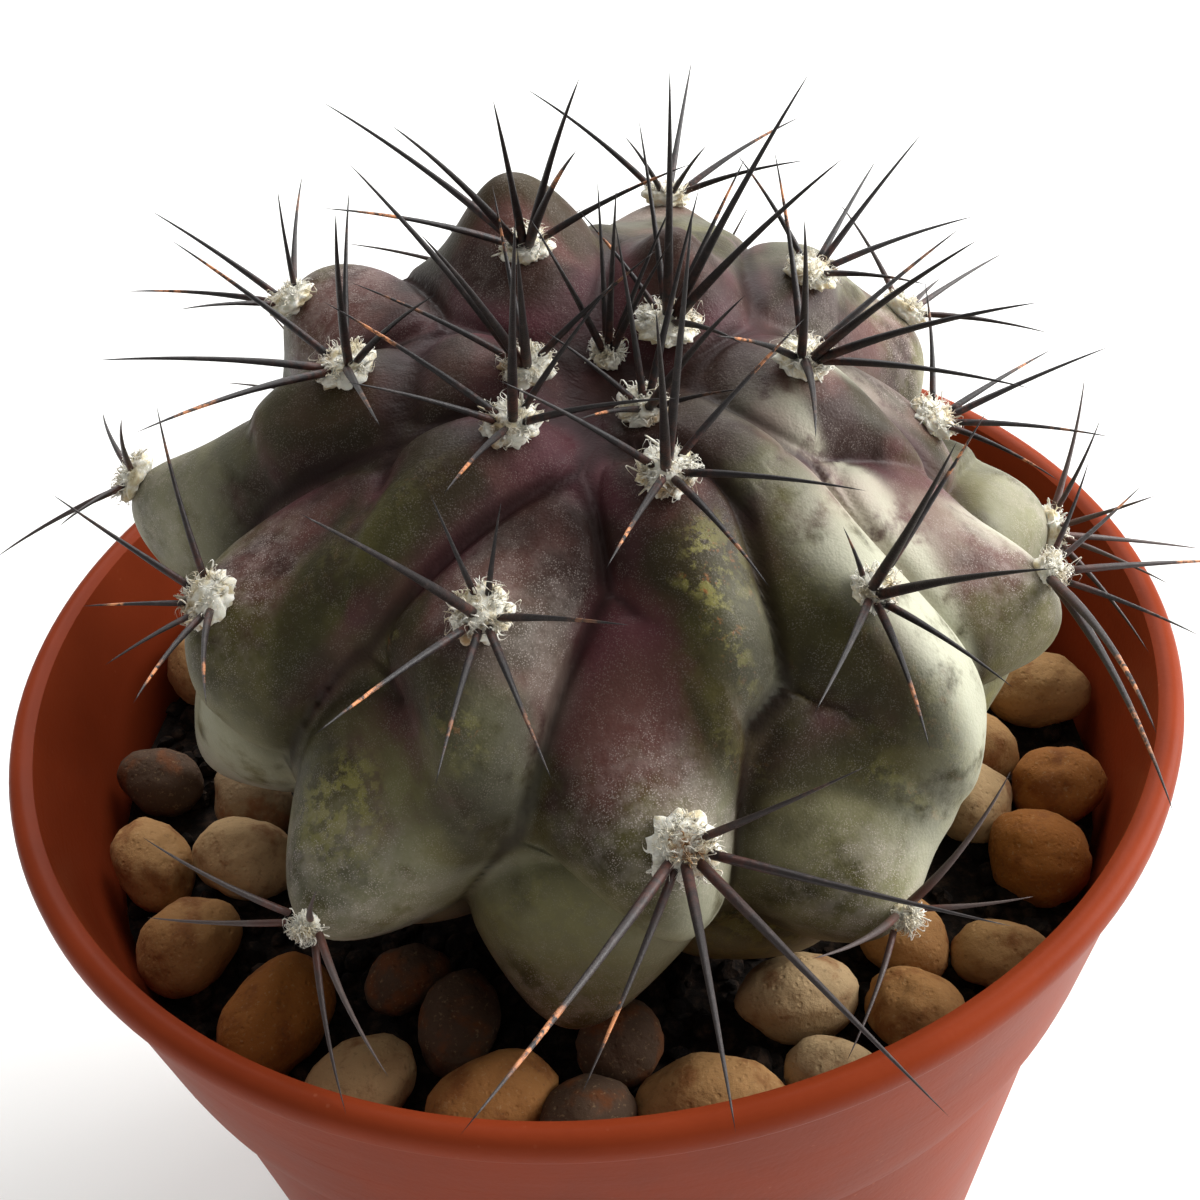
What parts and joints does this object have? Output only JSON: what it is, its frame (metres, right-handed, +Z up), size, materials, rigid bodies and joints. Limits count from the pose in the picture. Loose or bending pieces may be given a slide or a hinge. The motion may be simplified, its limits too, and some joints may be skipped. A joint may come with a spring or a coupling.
{
  "type": "potted copiapoa griseoviolacea",
  "caption": "Small globular copiapoa cactus with grey-violet tubercles, woolly areoles and dark spines, in a round terracotta-coloured plastic nursery pot with gravel top dressing.",
  "frame": {"origin": "centre of the pot's base, on the surface that the pot stands on", "axes": "+Z up along the pot's axis; -Y towards the side that the picture shows; +X to the right seen from there"},
  "size_m": [0.0679, 0.0724, 0.0909],
  "materials": {
    "pot_plastic": "satin moulded terracotta-coloured plastic",
    "soil": "dark crumbly substrate",
    "gravel": "rounded tan and ochre stones, matt",
    "flesh": "matt grey-violet and grey-green skin with chalky bloom",
    "spine": "black to grey horn with brown tips"
  },
  "bodies": {
    "root": {"pot": "pot_plastic", "soil": "soil", "gravel": "gravel", "cactus_body": "flesh", "areole_00": "spine", "areole_01": "spine", "areole_02": "spine", "areole_03": "spine", "areole_04": "spine", "areole_05": "spine", "areole_06": "spine", "areole_07": "spine", "areole_08": "spine", "areole_09": "spine", "areole_10": "spine", "areole_11": "spine", "areole_12": "spine", "areole_13": "spine", "areole_14": "spine", "areole_15": "spine", "areole_16": "spine", "areole_17": "spine", "areole_18": "spine", "areole_19": "spine", "areole_20": "spine", "areole_21": "spine", "areole_22": "spine", "areole_23": "spine", "areole_24": "spine", "areole_25": "spine"}
  },
  "joints": []
}
